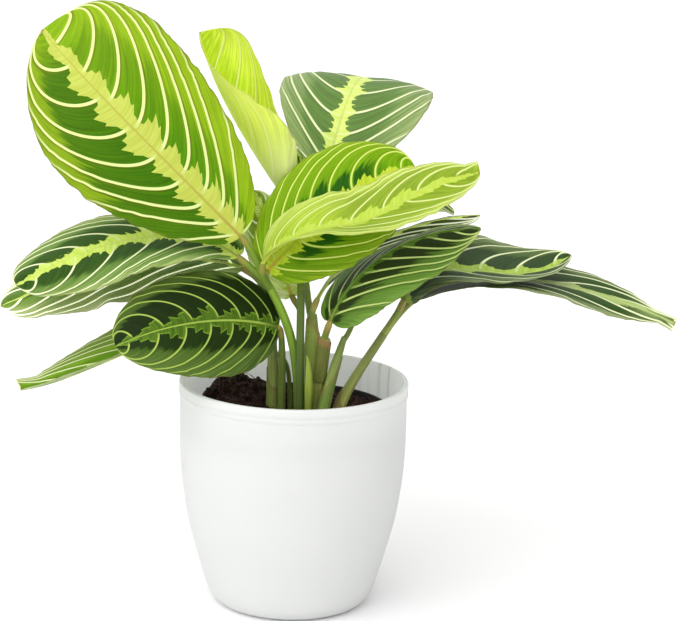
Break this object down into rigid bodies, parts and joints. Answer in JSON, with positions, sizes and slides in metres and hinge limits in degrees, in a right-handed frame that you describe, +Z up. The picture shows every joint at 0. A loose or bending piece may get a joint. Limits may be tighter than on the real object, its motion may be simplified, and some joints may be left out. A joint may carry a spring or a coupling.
{
  "type": "potted plant",
  "caption": "Prayer plant with pale-veined green leaves on sheathed stems, growing in a nursery pot inside a white round cover pot.",
  "frame": {"origin": "centre of the cover pot's underside", "axes": "+Z up, +X to the right and -Y toward the viewer of the front"},
  "size_m": [0.3856, 0.1953, 0.3423],
  "materials": {
    "white_plastic": "satin white, faint fine texture",
    "black_plastic": "thin black moulded plastic",
    "soil": "loose damp potting soil, crumbs and fibres",
    "green_stem": "smooth living stalk with fine lengthwise grooves",
    "young_stem": "pale smooth living stalk",
    "dark_stem": "dark olive living stalk",
    "bright_leaf": "bright green leaf, pale veins, lime feather along the midrib",
    "lime_leaf": "young lime leaf, pale veins",
    "dark_leaf": "dark green satin leaf, pale veins, lime feather along the midrib"
  },
  "bodies": {
    "root": {"cover_pot": "white_plastic", "nursery_pot": "black_plastic", "soil": "soil", "stem_front": "green_stem", "stem_tall": "green_stem", "stem_sheathed": "green_stem", "stem_stub": "green_stem", "stem_right_inner": "green_stem", "stem_right": "green_stem", "stem_left": "young_stem", "stem_left_dark": "dark_stem", "stem_left_thin": "dark_stem", "young_shoot": "young_stem", "leaf_great": "bright_leaf", "leaf_rolled": "lime_leaf", "leaf_back": "dark_leaf", "leaf_centre": "bright_leaf", "leaf_lime": "lime_leaf", "leaf_left_upper": "dark_leaf", "leaf_left_lower": "dark_leaf", "leaf_left_low": "bright_leaf", "leaf_front": "dark_leaf", "leaf_right_front": "dark_leaf", "leaf_right_fold": "dark_leaf", "leaf_right_upper": "dark_leaf", "leaf_right_far": "dark_leaf", "leaf_behind_right": "dark_leaf", "leaf_behind_small": "dark_leaf", "leaf_behind_lime": "lime_leaf"}
  },
  "joints": []
}
